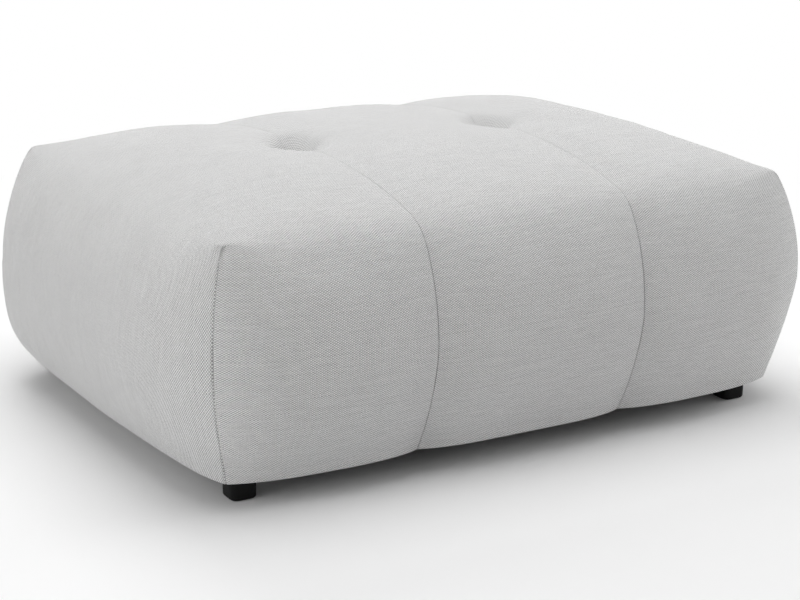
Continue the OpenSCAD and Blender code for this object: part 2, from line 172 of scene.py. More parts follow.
def rolled(grid, edges, hems, taper):
    """A grid whose lines are softened round the top edges, by 8 mm all along and by 20 mm more
    where taper is 1, and by 4 mm at the hem's folds."""
    at, edge_reach, hem_reach = along(grid), 0.13, 0.03
    edge = sum(np.maximum(0, 1 - ((at - at[k]) / edge_reach) ** 2) ** 2 for k in edges)
    hem = sum(np.maximum(0, 1 - ((at - at[k]) / hem_reach) ** 2) for k in hems)
    edge, taper = np.broadcast_to(edge, grid.shape[:2]), taper[:, None]
    for sigma in (0.004 * hem + 0 * edge, 0.008 * edge, 0.020 * edge * taper):
        grid = softened(grid, sigma)
    return grid


def girth(x):
    """Grid of the skin over the places x, from the turned-in front hem over the top to the rear
    hem, with the top edges and the hem's folds rolled over."""
    wall = skin(x[:, None], ring_b, ring_c)
    rear = np.stack((pulled(x, hem_turn, 0), np.full_like(x, half_w - hem_turn),
                     np.full_like(x, hem_z)), -1)[:, None]
    front = rear * (1, -1, 1)
    grid = np.concatenate((front + (wall[:, :1] - front) * hem_s[:, None], wall,
                           rear + (wall[:, -1:] - rear) * hem_s[::-1, None]), 1)
    taper = gentle((half_l - np.abs(x)) / ear_reach)
    return rolled(grid, (front_edge, rear_edge), (len(hem_s), -1 - len(hem_s)), taper)


def carried(top, seam, down, aside):
    """Moves of a wall beside an upright corner, from those of its top edge and of the corner
    seam: each fades as a Gaussian of 25 mm, and the ear's move counts once."""
    down, aside = (np.exp(-(away / 0.025) ** 2) for away in (down[None, :, None], aside[:, None, None]))
    return top[:, None] * down + seam[None] * aside - seam[0] * down * aside


def end_cover_grids():
    """The right end cover's two grids: the strip from the channel to the corner seams, and the
    end face from its top edge down to the turned-in hem, rolled into each other at the top."""
    x = lines(channel_x, half_l, 0.0042, [(channel_x, 0.0008, 0.02), (half_l, 0.0010, 0.02)])
    strip = girth(x)
    face = skin(half_l, across_b[:, None], rise_c[::-1])
    inner = np.stack((np.full_like(across_b, half_l - hem_turn), across_b * (half_w - hem_turn),
                      np.full_like(across_b, hem_z)), -1)[:, None]
    hem = inner + (face[:, -1:] - inner) * hem_s[::-1, None]
    down = (ear_z - hem_z) * (1 - rise_c[::-1]) / 2
    upper = (rise_c[::-1] > 0)[:, None]
    walls = ((strip[:, front_edge - len(rise_c) + 1:front_edge + 1][:, ::-1], across_b < 0, 0),
             (strip[:, rear_edge:rear_edge + len(rise_c)], across_b >= 0, -1))
    # The end face takes on how the ears were softened in the strip
    top_moves = strip[-1, front_edge:rear_edge + 1] - face[:, 0]
    moves = [carried(top_moves * half[:, None], (wall[-1] - face[row]) * upper, down,
                     np.abs(across_b - across_b[row]) * half_w) for wall, half, row in walls]
    face = face + sum(moves)
    over = strip[:, front_edge:rear_edge + 1].transpose(1, 0, 2)
    line = np.concatenate((over, face[:, 1:], hem), 1)
    taper = gentle((1 - np.abs(across_b)) * half_w / ear_reach)
    soft = rolled(line, (len(x) - 1,), (-1 - len(hem_s),), taper)
    # The front and rear walls take on how the ears were softened in the end lines
    for wall, _, row in walls:
        move = soft[row] - line[row]
        corner = move[len(x) - 1:len(x) - 1 + len(down)] * upper
        wall[:, 1:] += carried(move[:len(x)], corner, down, half_l - x)[:, 1:]
    strip[:, front_edge:rear_edge + 1] = soft[:, :len(x)].transpose(1, 0, 2)
    return x, strip, soft[:, len(x) - 1:]


def facing(points):
    """Unit normals of a grid, from the cross product of its two directions."""
    cross = np.cross(np.gradient(points, axis=0), np.gradient(points, axis=1))
    return cross / np.maximum(np.linalg.norm(cross, axis=2, keepdims=True), 1e-12)


def uneven(points, scale, seed):
    """Smooth unevenness from about -1 to 1: twice the mean of nine plane waves of random
    direction, length and phase."""
    rng = np.random.default_rng(seed)
    ways = rng.normal(size=(9, 3))
    ways *= (scale * rng.uniform(0.5, 1.6, 9) / np.linalg.norm(ways, axis=1))[:, None]
    return np.sin(points @ ways.T + rng.uniform(0, math.tau, 9)).mean(-1) * 2


def rounded_in(away, radius):
    """Depth of a cloth edge that curls in at a seam: a quarter circle over the radius."""
    gap = np.maximum(0, radius - away)
    return radius - np.sqrt(np.maximum(0, radius ** 2 - gap ** 2))


def seam_depth(height):
    """How tightly a sewn channel is drawn in at a height: little near the hem, and not at all
    over the top."""
    return gentle((0.39 - height) / 0.06) * (0.15 + 0.85 * gentle((height - 0.04) / 0.16))


def tuft_folds(points):
    """Depth of the folds that leave a tuft along the length, wider and shallower further out."""
    away, y = np.abs(np.abs(points[..., 0]) - channel_x), points[..., 1]
    fold = np.exp(-(y / (0.005 + 0.12 * away)) ** 2) * np.exp(-away / 0.05)
    return 0.004 * fold * gentle(away / 0.025) * gentle((points[..., 2] - 0.30) / 0.06)


def channel_puckers(points, away):
    """Height of the small gathers along a channel: waves 19 mm long, of uneven strength, that
    fade away from the seam over 12 mm."""
    girth_place = points[..., 2] * 1.3 + np.abs(points[..., 1])
    wave = np.sin(girth_place * math.tau / 0.019 + 2.5 * uneven(points, 25, 5))
    strength = np.clip(0.5 + uneven(points, 14, 8), 0, 1)
    return 0.0007 * wave * strength * np.exp(-away / 0.012) * gentle(away / 0.004)


def dart_depth(away, points, gather, fade, on=1):
    """Depth of the cloth beside a corner dart: a curl of 1.5 mm into the seam, by the share fade,
    and a Gaussian hollow of the depth gather, 6 mm beside the seam and 9 mm below the ear."""
    down = ear_z - points[..., 2]
    hollow = gather * np.exp(-((away - 0.006) / 0.005) ** 2) * np.exp(-((down - 0.009) / 0.007) ** 2)
    return rounded_in(away, 0.0015) * (on * fade) + hollow * on


def finished_cloth(points, out, seed, dart=0):
    """A grid in its close-up form, moved against its outward normals by the curl into the
    channels, the folds, the gathers, the soft unevenness and the depth of the darts."""
    away, height = np.abs(np.abs(points[..., 0]) - channel_x), points[..., 2]
    curl, soft = 0.0003 * seam_depth(height), 0.0011 * uneven(points, 38, seed)
    depth = rounded_in(away, curl) + tuft_folds(points) + dart - channel_puckers(points, away)
    depth = depth + soft * gentle(away / 0.05) * gentle((height - hem_z) / 0.02)
    return points - out * depth[..., None]


def thinned(at, keep, step=0.010):
    """Numbers of a line's points that lie about a step apart, with those in keep among them."""
    runs = [np.linspace(at[a], at[b], max(1, round((at[b] - at[a]) / step)) + 1)
            for a, b in zip(keep[:-1], keep[1:])]
    return np.unique(np.concatenate([np.searchsorted(at, run - 1e-9) for run in runs]))


def carried_over(moves, old, new, width):
    """A grid of moves brought from its old places along both ways to the new ones, as means
    weighted by Gaussians of the given width."""
    ways = []
    for before, after in zip(old, new):
        weight = np.exp(-0.5 * ((after[:, None] - before) / width) ** 2)
        ways.append(weight / weight.sum(1, keepdims=True))
    return np.einsum("ai,ijk,bj->abk", ways[0], moves, ways[1])


def grid_quads(start, n, m, turned):
    """Point numbers of each face of an n by m grid that begins with the number start; a turned
    grid's faces run the other way round."""
    index = start + np.arange(n * m).reshape(n, m)
    quad = np.stack((index[:-1, :-1], index[1:, :-1], index[1:, 1:], index[:-1, 1:]), -1)
    return (quad[..., ::-1] if turned else quad).reshape(-1, 4)


def shared_points(points, quads, places):
    """Takes points that round to the same place as one: the number of the first of each such
    set, the set that each point is in, the faces by sets, and which have four corners left."""
    first, same = np.unique(np.round(points, places), axis=0, return_index=True,
                            return_inverse=True)[1:]
    faces = same.ravel()[quads]
    return first, same.ravel(), faces, (np.diff(np.sort(faces, 1)) > 0).all(1)


def filled_cloth(spots, faces, pinned):
    """Places of a net's points after 20 steps of cloth simulation with pressure from inside,
    while the pinned points are held."""
    mesh = bpy.data.meshes.new("trial")
    mesh.from_pydata(spots, [], faces)
    trial = placed("trial", mesh)
    trial.vertex_groups.new(name="sewn").add(pinned, 1, "REPLACE")
    woven = trial.modifiers.new("woven", "CLOTH")
    fabric = woven.settings
    fabric.quality, fabric.mass, fabric.vertex_group_mass = 5, 0.3, "sewn"
    fabric.tension_stiffness = fabric.compression_stiffness = 40
    fabric.shear_stiffness, fabric.bending_stiffness = 15, 0.5
    fabric.use_pressure, fabric.uniform_pressure_force = True, 4
    fabric.shrink_min = -0.006
    fabric.effector_weights.gravity = 0
    woven.collision_settings.use_collision = False
    first, last = 1, 20
    woven.point_cache.frame_start, woven.point_cache.frame_end = first, last
    for step in range(first, last + 1):
        scene.frame_set(step)
    settled = trial.evaluated_get(bpy.context.evaluated_depsgraph_get())
    after = np.empty(len(spots) * 3, np.float32)
    settled.data.vertices.foreach_get("co", after)
    scene.frame_set(first)
    bpy.data.objects.remove(trial)
    bpy.data.meshes.remove(mesh)
    return after.reshape(-1, 3)


def pressed_out(grids, seed, cap=0.006, inmost=0.0015):
    """Moves of the cloth as the fibre presses it outwards, simulated on a net of some rows and
    columns of each grid, given as (points, faces turned round, rows, columns, distance from
    where it is held). The slow part, over 50 mm, is taken off, because the grids have that form
    already. The rest is bounded softly, to cap and inwards to inmost, fades towards what is
    held, and goes back to the full grids."""
    nets, starts, held, quads, count = [], [], [], [], 0
    for points, turned, rows, columns, away in grids:
        net = points[rows][:, columns]
        nets.append(net.reshape(-1, 3))
        starts.append((net + facing(net) * (0.0006 * uneven(net, 60, seed))[..., None]).reshape(-1, 3))
        held.append((away[rows][:, columns] == 0).ravel())
        quads.append(grid_quads(count, len(rows), len(columns), turned))
        count += len(nets[-1])
    first, same, faces, whole = shared_points(np.concatenate(nets), np.concatenate(quads), 5)
    spots, pinned = np.concatenate(starts)[first], np.nonzero(np.concatenate(held)[first])[0]
    moves = (filled_cloth(spots, faces[whole].tolist(), pinned.tolist()) - spots)[same]
    moves = np.split(moves, np.cumsum([len(net) for net in nets])[:-1])
    result = []
    for (points, turned, rows, columns, away), move in zip(grids, moves):
        move = move.reshape(len(rows), -1, 3)
        full = both_ways(points)
        few = full[0][rows], full[1][columns]
        quick = move - carried_over(move, few, few, 0.05)
        quick /= 1 + np.linalg.norm(quick, axis=2, keepdims=True) / cap
        out = facing(points[rows][:, columns]) * (-1 if turned else 1)
        inwards = np.minimum((quick * out).sum(2, keepdims=True), 0)
        quick += out * (inwards / (1 - inwards / inmost) - inwards)
        result.append(carried_over(quick, few, full, 0.006) * gentle(away / 0.02)[..., None])
    return result


def cloth_map(points):
    """The cloth's own flat map of a grid, in metres, from mean lengths along both ways."""
    u, v = both_ways(points)
    return np.stack(np.broadcast_arrays(u[:, None], v[None]), -1)


def mesh_piece(name, grids, material, shades=(), thick=0):
    """One smooth mesh from grids, each (points, flat map or None, faces turned round), with
    shared points merged, a seam shade for each point, and any thickness laid inwards."""
    verts, quads, maps, start = [], [], [], 0
    for points, flat, turned in grids:
        n, m = points.shape[:2]
        quads.append(grid_quads(start, n, m, turned))
        verts.append(points.reshape(-1, 3))
        if flat is not None:
            maps.append(flat.reshape(-1, 2))
        start += n * m
    verts, quads = np.concatenate(verts), np.concatenate(quads)
    first, _, merged, whole = shared_points(verts, quads, 6)
    # A face with two corners in one place stays as a triangle
    tips = [list(dict.fromkeys(face)) for face in merged[~whole].tolist()]
    tips = [face for face in tips if len(face) == 3]
    mesh = bpy.data.meshes.new(name)
    mesh.from_pydata(verts[first], [], merged[whole].tolist() + tips)
    if maps:
        corner = np.zeros((len(mesh.loops), 2), np.float32)
        corner[:4 * whole.sum()] = np.concatenate(maps)[quads[whole]].reshape(-1, 2)
        mesh.uv_layers.new(name="cloth").data.foreach_set("uv", corner.ravel())
    if shades:
        value = np.concatenate([shade.ravel() for shade in shades])[first].astype(np.float32)
        mesh.attributes.new("seam", "FLOAT", "POINT").data.foreach_set("value", value)
    mesh.polygons.foreach_set("use_smooth", np.ones(len(mesh.polygons), bool))
    mesh.materials.append(material)
    piece = placed(name, mesh)
    if thick:
        wall = piece.modifiers.new("cloth thickness", "SOLIDIFY")
        wall.thickness, wall.offset = thick, -1
    return piece


def settle(piece, slot, *nodes):
    """The piece rides on the root and stands for CAD nodes, whose parts it hides; slot is not used."""
    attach(piece, "root")
    if nodes:
        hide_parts(*nodes)


class Wire:
    """A shader value that Python arithmetic joins to further nodes of its tree."""

    def __init__(self, tree, socket):
        self.tree, self.socket = tree, socket

    def maths(self, operation, *others):
        """A Math node of the operation on this value and the others."""
        return node(self.tree, "ShaderNodeMath", {"operation": operation},
                    dict(enumerate((self,) + others)))

    def __add__(self, other): return self.maths("ADD", other)
    def __sub__(self, other): return self.maths("SUBTRACT", other)
    def __mul__(self, other): return self.maths("MULTIPLY", other)
    def __truediv__(self, other): return self.maths("DIVIDE", other)
    def __pow__(self, other): return self.maths("POWER", other)
    def __rsub__(self, other): return (self * -1) + other
    __radd__, __rmul__ = __add__, __mul__


def node(tree, kind, settings=(), values=(), out=0):
    """The output out of a new node of a kind, with its settings made and its sockets filled with
    values or wires."""
    made = tree.nodes.new(kind)
    for key, value in dict(settings).items():
        setattr(made, key, value)
    for key, value in dict(values).items():
        if isinstance(value, Wire):
            tree.links.new(value.socket, made.inputs[key])
        else:
            made.inputs[key].default_value = value
    return Wire(tree, made.outputs[out])


def finish_of(name, roughness, flat_map="", **settings):
    """A new material, its Principled shader, and each point's place in metres on its object or
    on its flat map."""
    made = bpy.data.materials.new(name)
    made.use_nodes = True
    tree = made.node_tree
    shader = tree.nodes["Principled BSDF"]
    for key, value in dict(settings, Roughness=roughness).items():
        shader.inputs[key.replace("_", " ")].default_value = value
    if flat_map:
        return made, shader, node(tree, "ShaderNodeUVMap", {"uv_map": flat_map})
    return made, shader, node(tree, "ShaderNodeTexCoord", out="Object")


def feed(shader, key, wire):
    """Joins a wire to one of the shader's sockets."""
    wire.tree.links.new(wire.socket, shader.inputs[key])


def coloured(shader, share, one, other):
    """Colours the shader between one and other by a share from 0 to 1."""
    feed(shader, "Base Color", node(share.tree, "ShaderNodeMix", {"data_type": "RGBA"},
                                    {0: share, 6: (*one, 1), 7: (*other, 1)}, 2))


def bumped(shader, height, strength, depth):
    """Tilts the shader's normal by a height of depth metres for a whole step."""
    feed(shader, "Normal", node(height.tree, "ShaderNodeBump", (),
                                {"Strength": strength, "Distance": depth, "Height": height}))


def noise(spot, scale, detail=2.0, rough=0.5):
    """Smooth random values from 0 to 1, with scale of them to a metre."""
    return node(spot.tree, "ShaderNodeTexNoise", (),
                {"Vector": spot, "Scale": scale, "Detail": detail, "Roughness": rough})


def parts_of(spot):
    """The three parts of a place, each a wire of its own."""
    split = node(spot.tree, "ShaderNodeSeparateXYZ", (), {0: spot}).socket.node
    return [Wire(spot.tree, part) for part in split.outputs]


def cover_cloth():
    """Light grey plain weave: domed crossings, painted darker down into the dips between them as
    shade, upright threads lighter than level ones, a contrast that also paints light and shade
    on the crossings, slubs along single threads, and a shade in the seams."""
    upright_width, level_width, stitch_length = 0.00246, 0.00162, 0.0045
    made, shader, spot = finish_of("cover_cloth", 0.88, "cloth", Sheen_Weight=0.1, Sheen_Roughness=0.5)
    flat_u, flat_v, _ = parts_of(spot)
    u, v = flat_u / upright_width, flat_v / level_width
    column, row = u.maths("FLOOR"), v.maths("FLOOR")
    odd = (column + row).maths("PINGPONG", 1)
    over_u = ((u - column) * math.pi).maths("SINE").maths("MAXIMUM", 0)
    over_v = ((v - row) * math.pi).maths("SINE").maths("MAXIMUM", 0)
    height = (over_v ** 0.9) * (over_u ** 0.35) * odd + (over_u ** 0.9) * (over_v ** 0.35) * (1 - odd)
    each_upright, each_level, each_crossing = (
        node(spot.tree, "ShaderNodeCombineXYZ", (), {0: one, 1: other})
        for one, other in ((column * 7.31, v * 0.05), (u * 0.05, row * 5.17), (column, row)))
    upright_slub, level_slub = noise(each_upright, 1, 1), noise(each_level, 1, 1)
    cloud = noise(spot, 9, 3)
    speck = node(spot.tree, "ShaderNodeTexWhiteNoise", (), {"Vector": each_crossing})
    # Upright threads are lighter than level ones, a contrast that also paints the light and shade of
    # the crossings
    upright = 1.20 + (upright_slub - 0.5) * 0.4
    level = 0.52 + (level_slub - 0.5) * 0.4
    # Tone falls with the weave's height: painted shade in the dips between the crossings
    tone = (level * odd + upright * (1 - odd)) * (0.72 + height * 0.34) * (0.97 + cloud * 0.06)
    seam = node(spot.tree, "ShaderNodeAttribute", {"attribute_name": "seam"}, (), "Fac")
    stitch = ((flat_u + flat_v) * (math.tau / stitch_length)).maths("SINE")
    tone = tone * (0.96 + speck * 0.18) * (1 - seam * (0.32 + stitch * 0.14))
    coloured(shader, tone, (0, 0, 0), (1.0, 0.998, 0.995))
    bumped(shader, height + upright_slub * 0.3 + level_slub * 0.3, 0.9, 0.0009)
    return made


def seam_shade(points, corner=1.0):
    """Shade of a grid's seams, fading over a millimetre: 1 on a corner seam, whose distance is
    corner, and fainter in the channels."""
    height = points[..., 2]
    channel = np.exp(-np.abs(np.abs(points[..., 0]) - channel_x) / 0.0007)
    channel *= 0.3 * seam_depth(height)
    return np.maximum(channel, np.exp(-corner / 0.0008) * gentle((dart_top - height) / 0.015))


def cover_piece(name, grids, shades, cad_node):
    """A cover panel that stands for one CAD node, padded by its filling."""
    piece = mesh_piece(name, grids, cloth, shades, cloth_t)
    settle(piece, "cover_fabric", cad_node)


cloth = cover_cloth()
centre_x = lines(-channel_x, channel_x, 0.0042, [(-channel_x, 0.0008, 0.02), (channel_x, 0.0008, 0.02)])
centre_grid = girth(centre_x)
hem, last = len(hem_s), centre_grid.shape[1] - 1
centre_along, centre_round = both_ways(centre_grid)
front_columns = thinned(centre_round, (0, hem, front_edge))
top_columns = thinned(centre_round, (front_edge, rear_edge))
columns = np.unique(np.concatenate((front_columns, top_columns, last - front_columns)))


def sewn_away(points, channels):
    """Distance along a strip from where it is held: its channels' rows and both turned-in hems."""
    u, v = both_ways(points)
    from_hem = np.maximum(0, np.minimum(v - v[hem], v[-hem - 1] - v))
    return np.minimum(np.abs(u[:, None] - u[channels]).min(1)[:, None], from_hem)


rows = thinned(centre_along, (0, len(centre_grid) - 1))
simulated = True
pressed = 0
if simulated:
    pressed = pressed_out([(centre_grid, False, rows, columns, sewn_away(centre_grid, [0, -1]))], 41)[0]
shaped = finished_cloth(centre_grid + pressed, facing(centre_grid), 3)
cover_piece("centre_cloth", [(shaped, cloth_map(centre_grid), False)], [seam_shade(shaped)],
            "centre_cover")


def end_edges(strip):
    """The strip's last line in three: over the top, and down the front and the rear corner."""
    return strip[-1, front_edge:rear_edge + 1], strip[-1, front_edge::-1], strip[-1, rear_edge:]


end_x, end_strip, end_face = end_cover_grids()
end_face[:, 0], end_face[0], end_face[-1] = end_edges(end_strip)
face_along, face_down = both_ways(end_face)
rows = thinned(both_ways(end_strip)[0], (0, len(end_x) - 1))
for name, sign, seed in (("left", -1, 11), ("right", 1, 23)):
    strip, face = end_strip * (sign, 1, 1), end_face * (sign, 1, 1)
    strip_map, drop = cloth_map(strip), cloth_map(face)
    face_map = np.stack((strip_map[-1, 0, 0] + drop[..., 1],
                         strip_map[0, front_edge, 1] + drop[..., 0]), -1)
    strip_out, face_out = facing(strip) * sign, facing(face) * -sign
    if simulated:
        face_away = np.maximum(0, face_down[-hem - 1] - face_down) + np.zeros((len(face), 1))
        face_rows, face_columns = top_columns - front_edge, np.sort(front_edge - front_columns)
        moves = pressed_out([(strip, sign < 0, rows, columns, sewn_away(strip, [0])),
                             (face, sign > 0, face_rows, face_columns, face_away)], seed)
        strip, face = strip + moves[0], face + moves[1]
        # The end face follows the strip along their shared edges, less and less inwards
        near_top, near_corner = (np.exp(-(away / 0.03) ** 2) for away in (face_down, face_along))
        top_line, front_line, rear_line = end_edges(strip)
        face += (top_line - face[:, 0])[:, None] * near_top[:, None]
        face += (front_line - face[0]) * near_corner[:, None, None]
        face += (rear_line - face[-1]) * near_corner[::-1, None, None]
    # The darts curl in and fade out below the ears; the right ears are gathered less
    gather = 0.0034 if sign < 0 else 0.0012
    place = np.arange(strip.shape[1])
    on_side = np.where((place <= front_edge) | (place >= rear_edge), 1, 0)
    side_away, end_away = half_l - end_x[:, None], ((1 - np.abs(across_b)) * half_w)[:, None]
    side_fade, fade = (gentle((dart_top - edge[:, 2]) / 0.03) for edge in (strip[-1], face[0]))
    side_dart = dart_depth(side_away, strip, gather, side_fade, on_side)
    strip = finished_cloth(strip, strip_out, seed, side_dart)
    shaped = finished_cloth(face, face_out, seed, dart_depth(end_away, face, gather, fade))
    # Both panels meet on one line in the corner seam
    drawn = shaped - face
    up = front_edge + 1
    strip[-1, :up] += drawn[0, ::-1] * fade[::-1, None]
    strip[-1, -up:] += drawn[-1] * fade[:, None]
    shaped[:, 0], shaped[0], shaped[-1] = end_edges(strip)
    side_away = np.where(on_side, side_away, 1.0)
    cover_piece(name + "_cloth", [(strip, strip_map, sign < 0), (shaped, face_map, sign > 0)],
                [seam_shade(strip, side_away), seam_shade(shaped, end_away)], name + "_cover")

# Fibre fillings, three pockets of white polyester wadding.
# Each lies under one cover panel and over the clad frame and the foam, laid in loose.
room_l, room_w, room_floor, room_top = 0.4505, 0.3355, 0.0373, 0.3458


def closed_piece(name, grids, material, slot, *nodes):
    """A closed piece from grids that share their edges, with its faces turned outwards, settled
    on the root for its nodes; its slot is not used."""
    piece = mesh_piece(name, [(points, None, False) for points in grids], material)
    work = bmesh.new()
    work.from_mesh(piece.data)
    bmesh.ops.recalc_face_normals(work, faces=work.faces)
    work.to_mesh(piece.data)
    work.free()
    settle(piece, slot, *nodes)
    return piece


def wadding():
    """White nonwoven fibre: fine crossing hairs over soft lumps."""
    made, shader, spot = finish_of("wadding", 0.95, Sheen_Weight=0.3)
    hair, lump = noise(spot, 900, 4, 0.7), noise(spot, 35, 3)
    coloured(shader, hair * 0.6 + lump * 0.4, (0.72, 0.72, 0.70), (0.94, 0.94, 0.92))
    bumped(shader, hair * 0.5 + lump, 0.5, 0.002)
    return made


def inner_wall(x, b, c):
    """The pocket's side towards the frame and the foam, at the same places x, b and c."""
    x, b, c = np.broadcast_arrays(np.clip(x, -room_l, room_l), b, c)
    return np.stack((x, b * room_w, room_floor + (room_top - room_floor) * (1 + c) / 2), -1)


def pocket(name, outer, inner, end=()):
    """A filling from its outer and inner grids, closed by its rims; end adds an end face's."""
    grids = [outer, inner, np.stack((outer[0], inner[0]))]
    grids += [np.stack((outer[:, k], inner[:, k])) for k in (0, -1)]
    if end:
        grids += [end[0], end[1], np.stack((end[0][:, -1], end[1][:, -1]))]
    else:
        grids.append(np.stack((outer[-1], inner[-1])))
    piece = closed_piece(name, grids, fibre, "fibre", name.replace("wadding", "filling"))


fibre = wadding()
under, beside_seam = 0.0036, 0.002
keep, up = slice(len(hem_s), -len(hem_s)), len(rise_c)
few = np.unique(np.append(np.arange(0, len(ring_b), 4), (len(ring_b) - 1, up - 1, len(ring_b) - up)))
outer = (centre_grid - facing(centre_grid) * under)[::4, keep][:, few]
reach = channel_x - beside_seam
outer[..., 0] = np.clip(outer[..., 0], -reach, reach)
outer[[0, -1], :, 0] = [[-reach], [reach]]
pocket("centre_wadding", outer, inner_wall(outer[:, :1, 0], ring_b[few], ring_c[few]))
for name, sign in (("left", -1), ("right", 1)):
    strip = (end_strip - facing(end_strip) * under)[:, keep]
    face = (end_face + facing(end_face) * under)[:, :-len(hem_s)]
    corner = np.stack((face[0, :, 0], strip[-1, up - 1::-1, 1], face[0, :, 2]), -1)
    strip[-1, up - 1::-1] = corner
    strip[-1, -up:] = corner * (1, -1, 1)
    face[0], face[-1] = corner, corner * (1, -1, 1)
    middle = (strip[-1, up - 1:-up + 1] + face[:, 0]) / 2
    strip[-1, up - 1:-up + 1], face[:, 0] = middle, middle
    rows = np.unique(np.append(np.arange(0, len(strip), 4), len(strip) - 1))
    b_few = few[(few >= up - 1) & (few <= len(ring_b) - up)] - up + 1
    c_few = np.sort(up - 1 - few[few < up])
    outer = strip[rows][:, few] * (sign, 1, 1)
    outer[0, :, 0] = sign * (channel_x + beside_seam)
    inner = inner_wall(outer[:, :1, 0], ring_b[few], ring_c[few])
    inner[-1, :, 0] = sign * room_l
    end_inner = inner_wall(sign * room_l, across_b[b_few][:, None], rise_c[::-1][c_few])
    pocket(name + "_wadding", outer, inner, (face[b_few][:, c_few] * (sign, 1, 1), end_inner))

# Seat foam, one block of cut polyurethane foam on the deck.
# The twine passes through it at each tuft and pulls its top in a little.
foam_low, foam_high = np.array((-0.450, -0.335, 0.2358)), np.array((0.450, 0.335, 0.3453))


def unit(ways):
    """The same directions with length 1."""
    return ways / np.linalg.norm(ways, axis=-1, keepdims=True)


def rounded_block(middle, half, radius, ways):
    """Six grids of a block with rounded edges: each point of a plain box is drawn back onto a
    smaller box and out again by the radius along the way it was drawn."""
    grids = []
    for axis in range(3):
        one, two = (axis + 1) % 3, (axis + 2) % 3
        for side in (-1, 1):
            grid = np.empty((len(ways[one]), len(ways[two]), 3))
            grid[..., axis] = side * half[axis]
            grid[..., one], grid[..., two] = ways[one][:, None], ways[two]
            core = np.clip(grid, -half + radius, half - radius)
            grids.append(middle + core + unit(grid - core) * radius)
    return grids


def cut_foam():
    """Pale yellow foam: small open cells, painted darker in their sunken mouths as shade."""
    made, shader, spot = finish_of("cut_foam", 0.9)
    cell = node(spot.tree, "ShaderNodeTexVoronoi", (), {"Vector": spot, "Scale": 650.0})
    # Darker where the cells sink: painted shade in their mouths
    coloured(shader, cell * 0.7 + noise(spot, 12) * 0.3, (0.92, 0.86, 0.62), (0.72, 0.64, 0.40))
    bumped(shader, 1 - cell, 0.5, 0.0008)
    return made


dent, dent_reach, hole, hole_radius = 0.006, 0.05, 0.100, 0.0036
half = (foam_high - foam_low) / 2
at_tufts = (((-channel_x, 0.0012, 0.06), (channel_x, 0.0012, 0.06)), ((0, 0.0012, 0.06),), ())
ways = [lines(-h, h, step, [*fine, (-h, 0.001, reach), (h, 0.001, reach)])
        for h, step, fine, reach in zip(half, (0.02, 0.02, 0.012), at_tufts, (0.03, 0.03, 0.02))]
sides = rounded_block((foam_low + foam_high) / 2, half, 0.003, ways)
top = sides[5]
radius = np.hypot(np.abs(top[..., 0]) - channel_x, top[..., 1])
top[..., 2] -= dent * np.maximum(0, 1 - radius / dent_reach) ** 2
top[..., 2] -= hole * gentle((hole_radius - radius) / 0.0006)
foam = closed_piece("foam_block", sides, cut_foam(), "foam", "seat_foam")

# Tufting twines, waxed three-strand twine.
# Each comes up through the channel seam, takes one stitch over it and is knotted below the
# washer under the deck.
washer_foot, pit_z, twine_pitch = 0.2244, 0.357, 0.008


def tube(path, side, radius, plies, pitch, around=20):
    """A twisted strand along a path, drawn to a tip at both ends: sections across it whose
    radius swells plies times round and turns once in each pitch of length. Side is one way
    across for each point."""
    ahead = unit(np.gradient(path, axis=0))
    one = unit(side - (side * ahead).sum(1, keepdims=True) * ahead)
    two = np.cross(ahead, one)
    place = np.concatenate(([0], np.cumsum(np.linalg.norm(np.diff(path, axis=0), axis=1))))[:, None]
    turn = np.linspace(0, math.tau, around + 1)
    size = radius * (0.86 + 0.14 * np.abs(np.cos(plies / 2 * (turn - math.tau * place / pitch))))
    size[[0, -1]] = 0
    ring = one[:, None] * np.cos(turn)[:, None] + two[:, None] * np.sin(turn)[:, None]
    return path[:, None] + ring * size[..., None]


def waxed_twine():
    """Grey waxed twine: fine fibres, slightly glossy."""
    made, shader, spot = finish_of("waxed_twine", 0.55)
    hair = noise(spot, 1800, 3)
    coloured(shader, hair, (0.42, 0.42, 0.41), (0.66, 0.66, 0.64))
    bumped(shader, hair, 0.3, 0.0002)
    return made


twine_finish = waxed_twine()
t, stitch_turn = np.linspace(0, 1, 90)[:, None], np.linspace(0, math.pi, 16)[:, None]
for name, sign in (("left", -1), ("right", 1)):
    rise = np.concatenate((0 * t, 0 * t, washer_foot - 0.002 + (pit_z - 0.006 - washer_foot) * t), 1)
    loop = np.concatenate((0 * stitch_turn, 0.0035 - 0.0035 * np.cos(stitch_turn),
                           pit_z - 0.004 + 0.0045 * np.sin(stitch_turn)), 1)
    down = loop[-1] - np.linspace(0, 0.012, 6)[1:, None] * (0, 0, 1)
    path = np.concatenate((rise, loop[1:], down)) + (sign * channel_x, 0, 0)
    strand = tube(path, np.broadcast_to((1.0, 0, 0), path.shape), 0.00125, 3, twine_pitch)
    # The knot is three turns of a spiral, each 1.6 mm above the last
    wind = np.linspace(0, 3 * math.tau, 72)[:, None]
    spiral = np.concatenate((np.cos(wind), np.sin(wind), 0 * wind), 1)
    climb = np.concatenate((0 * wind, 0 * wind, 0.0016 * wind / math.tau), 1)
    knot_path = spiral * 0.0024 + (sign * channel_x, 0, washer_foot - 0.0028) + climb
    knot = tube(knot_path - (0, 0, 0.0005), spiral, 0.00115, 3, twine_pitch)
    closed_piece(name + "_tufting", [strand, knot], twine_finish, "twine", name + "_twine")

